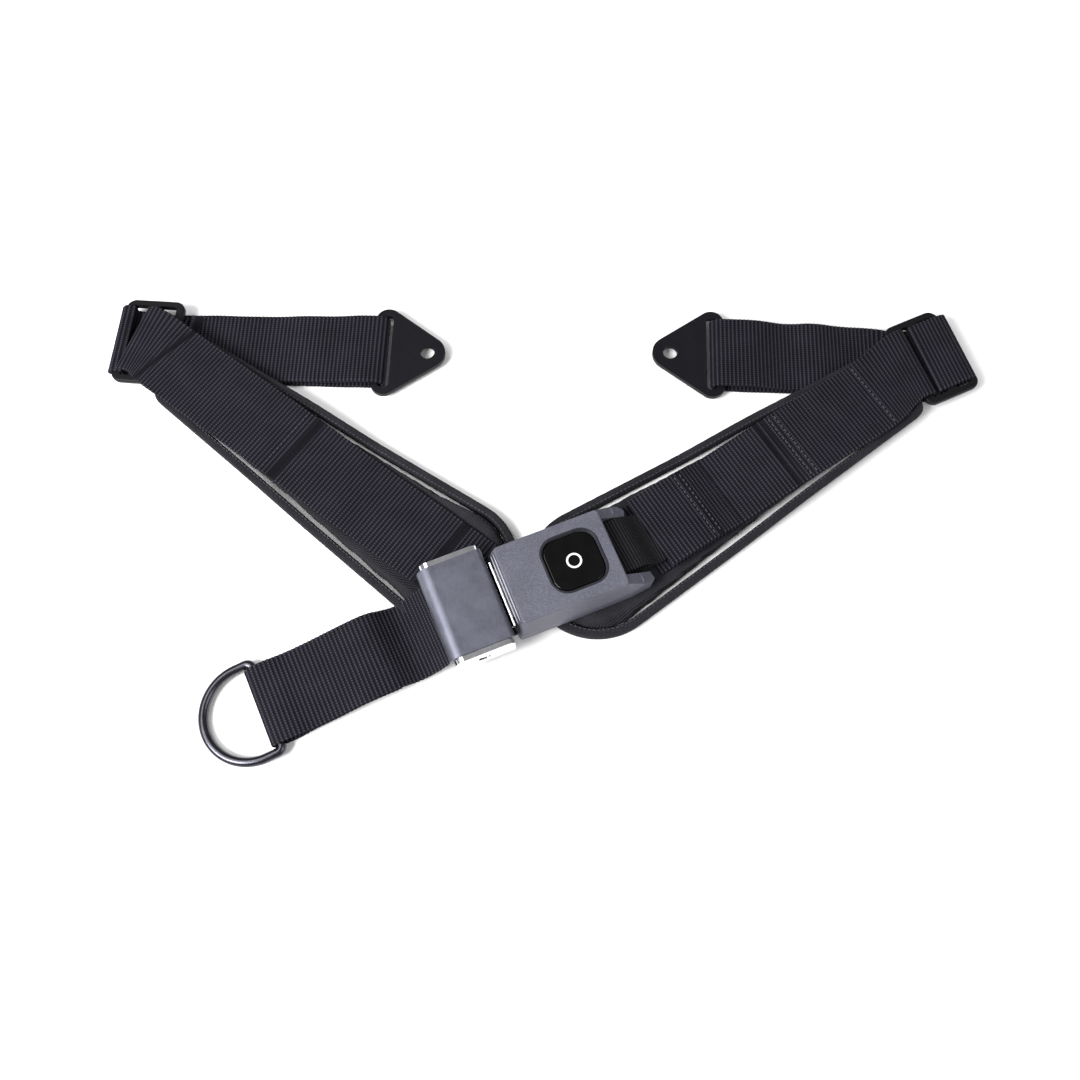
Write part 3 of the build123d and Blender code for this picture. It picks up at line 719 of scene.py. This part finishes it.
# stations are (along, height, lean); sewn marks are (distance along the band, width, depth, tilt), and each
# presses the band down and paints shade along it
web = {"width": 38 * mm, "thick": 1.8 * mm, "ribHeight": 0.17 * mm}
narrow = {"width": 26 * mm, "thick": 1.4 * mm, "ribHeight": 0.10 * mm}
air = 0.1 * mm
slideShape = {"length": 30 * mm, "thick": 3.2 * mm, "bar": 4 * mm, "leftTurn": -4.0, "rightTurn": 24.0}


def centreOf(name):
    low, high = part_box(name)
    return (low + high) / 2


slideHeight = centreOf("left_slide").z
slideGap = slideShape["thick"] / 2 + web["thick"] / 2 + air
slideReach = (slideShape["length"] - slideShape["bar"]) / 2


def leftPadWeb():
    centre = padCentre("left")
    turn = pads["left"]["turn"]
    top = padShape["top"] + air + web["thick"] / 2
    endTop = top + padShape["lift"]
    fold = centreOf("left_slide") + heading(180 + slideShape["leftTurn"]) * 6.5 * mm
    foldSide = side(161)
    stations = laid(centre, turn, [
        (-14 * mm, top), (2 * mm, top), (10 * mm, top), (13 * mm, top + 0.5 * mm), (30 * mm, top + 0.5 * mm),
        (58 * mm, top + 0.3 * mm), (80 * mm, endTop - 2.2 * mm), (98 * mm, endTop - 0.6 * mm),
        (101.5 * mm, endTop), (120 * mm, endTop), (150 * mm, endTop), (170 * mm, endTop), (182 * mm, endTop)])
    high = slideHeight + slideGap + 1.2 * mm
    low = slideHeight - slideGap
    for back, height in ((6 * mm, high + 0.4 * mm), (0, high), (-1.6 * mm, (high + low) / 2), (0, low),
                         (8 * mm, low), (15 * mm, low + 0.3 * mm)):
        stations.append((Vector((fold.x, fold.y, 0)) - heading(170) * back + Vector((0, 0, height)), foldSide))
    sewn = [(25.8 * mm, 4.2 * mm, 0.5 * mm, 0.03), (115.2 * mm, 4.2 * mm, 0.5 * mm, 0.03),
            (202.2 * mm, 2.4 * mm, 0.5 * mm, 0.2)]
    band = weaveBand("leftPadWeb", stations, web, wave=0.10 * mm, seed=3, presses=sewn)
    return finishPiece(band, "left_half", "webbing", ["left_pad_web"])


def rightPadWeb():
    centre = padCentre("right")
    turn = pads["right"]["turn"]
    top = padShape["top"] + air + web["thick"] / 2
    endTop = top + padShape["lift"]
    stations = laid(centre, turn, [
        (31 * mm, top), (45 * mm, top), (58 * mm, top), (75 * mm, top + 1.0 * mm), (95 * mm, endTop - 0.9 * mm),
        (112 * mm, endTop), (130 * mm, endTop), (150 * mm, endTop), (166 * mm, endTop)])
    slideAt = centreOf("right_slide")
    low = slideHeight - slideGap
    inner = slideShape["bar"] / 2 + 2.6 * mm - slideReach
    stations += laid(slideAt, slideShape["rightTurn"], [
        (-17 * mm, endTop + 0.1 * mm), (inner - 1 * mm, endTop), (inner + 0.8 * mm, (endTop + low) / 2),
        (inner - 1 * mm, low), (-14 * mm, low)], skew=-4)
    sewn = [(38.3 * mm, 1.6 * mm, 0.5 * mm, 0.0), (80.6 * mm, 2.2 * mm, 0.5 * mm, 0.03),
            (84.0 * mm, 1.6 * mm, 0.3 * mm, 0.03)]
    band = weaveBand("rightPadWeb", stations, web, wave=0.10 * mm, seed=5, presses=sewn)
    return finishPiece(band, "right_half", "webbing", ["right_pad_web"])


def rightWebFold():
    middle = padShape["top"] + 2 * (web["thick"] + narrow["thick"]) + 4 * air - web["thick"] / 2
    top = padShape["top"] + air + web["thick"] / 2
    steps = [(31.6 * mm, middle - 0.1 * mm), (36 * mm, middle), (48 * mm, middle), (58 * mm, middle - 0.2 * mm),
             (63 * mm, top + 3.0 * mm), (67.5 * mm, top + 2.1 * mm)]
    route = laid(padCentre("right"), pads["right"]["turn"], steps)
    sewn = [(29 * mm, 1.6 * mm, 0.35 * mm, 0.0)]
    band = weaveBand("rightWebFold", route, web, wave=0.06 * mm, seed=7, presses=sewn)
    return finishPiece(band, "right_half", "webbing", ["right_web_fold"])


def endStrap(name, wave, humps):
    slideAt = centreOf(name + "_slide")
    bar = Vector(joints[name + "_plate_swing"]["pos_m"])
    toBar = bar - Vector((slideAt.x, slideAt.y, bar.z))
    turn = math.degrees(math.atan2(toBar.y, toBar.x))
    reach = math.hypot(toBar.x, toBar.y)
    outward = slideShape[name + "Turn"] + (180 if name == "left" else 0)
    loop = 2.5 * mm + web["thick"] / 2
    mid = bar.z
    low = web["thick"] / 2 + 0.3 * mm
    second = low + web["thick"] + air
    outer = slideReach + slideShape["bar"] / 2 + web["thick"] / 2 + air
    inside = slideShape["bar"] / 2 + web["thick"] / 2 + air
    backTo = slideReach - inside if name == "left" else -inside - 1.5 * mm
    skew = 0.0 if name == "left" else -6.0
    above, below = slideHeight + slideGap, slideHeight - slideGap
    over = laid(slideAt, outward, [
        (backTo + 0.2 * mm, slideHeight - 0.6 * mm), (backTo, above), (backTo + 5 * mm, above),
        (outer - 2 * mm, above), (outer + 1.2 * mm, slideHeight), (outer - 2 * mm, below),
        (8 * mm, below + 0.2 * mm)], skew=skew)
    under = laid(slideAt, outward, [(-4 * mm, second + 0.2 * mm), (-12 * mm, second)], skew=skew / 2)
    legs = laid(slideAt, turn, [
        (24 * mm, second), (reach - 62 * mm, second + humps[0]), (reach - 48 * mm, second + humps[1]),
        (reach - 34 * mm, second + humps[2]), (reach - 18 * mm, second + humps[3]), (reach - 7 * mm, mid + loop),
        (reach + 2.5 * mm, mid + loop - 0.2 * mm), (reach + 6.0 * mm - wave, mid),
        (reach + 2.5 * mm, mid - loop + 0.2 * mm), (reach - 10 * mm, low), (reach - 40 * mm, low),
        (reach - 70 * mm, low), (26 * mm, low), (4 * mm, low)])
    band = weaveBand(name + "EndStrap", over + under + legs, web, wave=wave, seed=11)
    return finishPiece(band, name + "_half", "webbing", [name + "_end_strap"])


def pullTail():
    hinge = joints["ring_swing"]
    ring = Vector(hinge["pos_m"])
    axis = Vector(hinge["axis"])
    turn = math.degrees(math.atan2(axis.y, axis.x)) + 90
    start = centreOf("adjuster_bar")
    high = start.z
    reach = math.hypot(ring.x - start.x, ring.y - start.y)
    wrap = 3.2 * mm + web["thick"] / 2 + 1.1 * mm
    sewn = padShape["top"] + web["thick"] * 1.5 + air
    loop = 2.5 * mm + web["thick"] / 2
    mid = ring.z
    under = web["thick"] + air
    steps = [(-13 * mm, sewn), (-6 * mm, sewn), (-wrap - 0.2 * mm, sewn + 2 * mm), (-wrap - 0.4 * mm, high),
             (-2.5 * mm, high + wrap + 0.3 * mm), (wrap + 1.5 * mm, high + wrap - 0.6 * mm),
             (wrap + 9 * mm, 15.0 * mm),
             (21 * mm, 8.0 * mm), (29 * mm, 3.6 * mm, 0.05), (36 * mm, 6.0 * mm), (43 * mm, 10.6 * mm, -0.05),
             (55 * mm, 10.4 * mm), (70 * mm, 7.6 * mm), (84 * mm, 6.4 * mm), (reach - 8 * mm, mid + loop),
             (reach + 1.0 * mm, mid + loop), (reach + loop + 0.7 * mm, mid), (reach + 1.0 * mm, mid - loop),
             (reach - 9 * mm, mid - loop),
             (84 * mm, 5.8 * mm - under), (70 * mm, 7.0 * mm - under), (57 * mm, 8.6 * mm - under, 0.05),
             (46 * mm, 8.2 * mm - under, 0.03)]
    band = weaveBand("pullTail", laid(start, turn, steps), web, wave=0.15 * mm, seed=13)
    return finishPiece(band, "left_half", "webbing", ["adjuster_web"])


def buckleWeb():
    pin = centreOf("anchor_pin")
    turn = buckleTurn + 5
    wrap = 2.4 * mm + narrow["thick"] / 2
    reach = wrap + 1 * mm
    low = padShape["top"] + web["thick"] + air + narrow["thick"] / 2
    high = low + narrow["thick"] + air
    steps = [(36 * mm, high), (27 * mm, high), (21 * mm, high + 0.4 * mm), (14 * mm, pin.z + wrap - 0.9 * mm),
             (7 * mm, pin.z + wrap), (-1 * mm, pin.z + wrap), (-reach - 0.5 * mm, pin.z), (-1 * mm, pin.z - wrap),
             (7 * mm, pin.z - wrap), (13 * mm, low + 1.6 * mm), (20 * mm, low), (36 * mm, low)]
    route = laid(pin, turn, steps)
    band = weaveBand("buckleWeb", route, narrow, rib=1.5 * mm, columns=10, wave=0.05 * mm, seed=17)
    return finishPiece(band, "right_half", "narrowWebbing", ["buckle_loop_web"])


leftPadWeb()
rightPadWeb()
rightWebFold()
endStrap("left", 0.35 * mm, (0.3 * mm, 1.2 * mm, 2.6 * mm, 2.9 * mm))
endStrap("right", 0.3 * mm, (0.2 * mm, 3.4 * mm, 1.0 * mm, 4.2 * mm))
pullTail()
buckleWeb()
print("straps laid")


# sewing on the straps

threads = {"pitch": 2.6 * mm, "radius": 0.32 * mm, "half": 17.5 * mm, "foldHalf": 17.0 * mm}
nearTop = padShape["top"] + air + web["thick"] + 0.05 * mm
farTop = nearTop + padShape["lift"]
foldTop = padShape["top"] + 2 * (web["thick"] + narrow["thick"]) + 4 * air + 0.1 * mm


def stitchLines(name, padName, places, height, half=threads["half"]):
    centre = padCentre(padName)
    turn = pads[padName]["turn"]
    starts, ends = [], []
    for along in places:
        middle = Vector((centre.x, centre.y, height)) + heading(turn) * along
        more = needlePoints([middle + side(turn) * -half, middle + side(turn) * half], threads["pitch"])
        starts += more[0]
        ends += more[1]
    row = stitchRow(name, starts, ends, threads["radius"])
    return finishPiece(row, pads[padName]["body"], "thread")


stitchLines("rightCrossStitches", "right", [111.6 * mm, 115.0 * mm], farTop + 0.05 * mm)
stitchLines("rightEndStitches", "right", [163 * mm], farTop + 0.05 * mm)
stitchLines("rightFoldStitches", "right", [55.0 * mm, 58.0 * mm], foldTop, threads["foldHalf"])
stitchLines("leftCrossStitches", "left", [10.6 * mm, 12.8 * mm], nearTop - 0.2 * mm)
stitchLines("leftFarStitches", "left", [100.1 * mm, 102.3 * mm], farTop - 0.5 * mm)


ridges = {"places": ((26.2 * mm, 1.6 * mm), (27.3 * mm, 3.6 * mm)), "half": 17.6 * mm, "radius": 0.42 * mm,
          "pinAt": 22 * mm}


def mouthRidges():
    # two fine ridges along the top of the buckle's mouth, finished paler than the shell as painted highlight
    # lines
    pin = centreOf("anchor_pin")
    ahead = heading(buckleTurn)
    across = side(buckleTurn)
    starts, ends = [], []
    for back, drop in ridges["places"]:
        middle = pin - ahead * (ridges["pinAt"] + back)
        middle.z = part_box("top_cover")[1].z - drop
        starts.append(middle - across * ridges["half"])
        ends.append(middle + across * ridges["half"])
    row = stitchRow("mouthRidges", starts, ends, ridges["radius"])
    return finishPiece(row, "right_half", "ridgeHighlight")


mouthRidges()
print("stitching done")


# studio

def softLight(name, place, size, power):
    light = bpy.data.lights.new(name, "AREA")
    light.shape = "DISK"
    light.size = size
    light.energy = power
    lamp = bpy.data.objects.new(name, light)
    bpy.context.scene.collection.objects.link(lamp)
    lamp.location = place
    lamp.rotation_euler = (-Vector(place)).to_track_quat("-Z", "Y").to_euler()


studio = {"floor": 6.0, "world": 0.36, "pale": (0.93, 0.93, 0.93), "paler": (0.96, 0.96, 0.96)}
bpy.ops.mesh.primitive_plane_add(size=studio["floor"], location=(0, 0, -0.02 * mm))
floor = bpy.context.object
floor.name = "studioFloor"
floorFinish = Finish("paleFloor", 0.9, 0.0, {"Specular IOR Level": 0.1})
floorCloud = floorFinish.noise(0.4, 2.0)
floorFinish.set("Base Color", floorFinish.ramp(floorCloud, [(0, studio["pale"]), (1, studio["paler"])]))
floor.data.materials.append(floorFinish.material)
world = bpy.data.worlds.new("studioWorld")
world.use_nodes = True
background = world.node_tree.nodes["Background"]
background.inputs["Color"].default_value = (1, 1, 1, 1)
background.inputs["Strength"].default_value = studio["world"]
bpy.context.scene.world = world
softLight("keyLight", (-0.75, -0.45, 0.85), 0.6, 25)
softLight("topLight", (-0.55, 0.15, 1.15), 0.6, 5)
softLight("fillLight", (0.9, -0.4, 0.8), 0.8, 5)
bpy.context.scene.view_settings.view_transform = "Standard"

camera = {"elevation": 70.0, "distance": 0.5, "fromPlate": (82.9 * mm, -100.2 * mm), "lens": 34.77}
plateBar = Vector(joints["left_plate_swing"]["pos_m"])
target = Vector((plateBar.x + camera["fromPlate"][0], plateBar.y + camera["fromPlate"][1], 0))
lens = bpy.data.cameras.new("shot")
lens.lens = camera["lens"]
lens.sensor_width = 36
shot = bpy.data.objects.new("shot", lens)
bpy.context.scene.collection.objects.link(shot)
tilt = math.radians(camera["elevation"])
shot.location = target + camera["distance"] * Vector((0, -math.cos(tilt), math.sin(tilt)))
shot.rotation_euler = (math.pi / 2 - tilt, 0, 0)
bpy.context.scene.camera = shot
print("studio set")
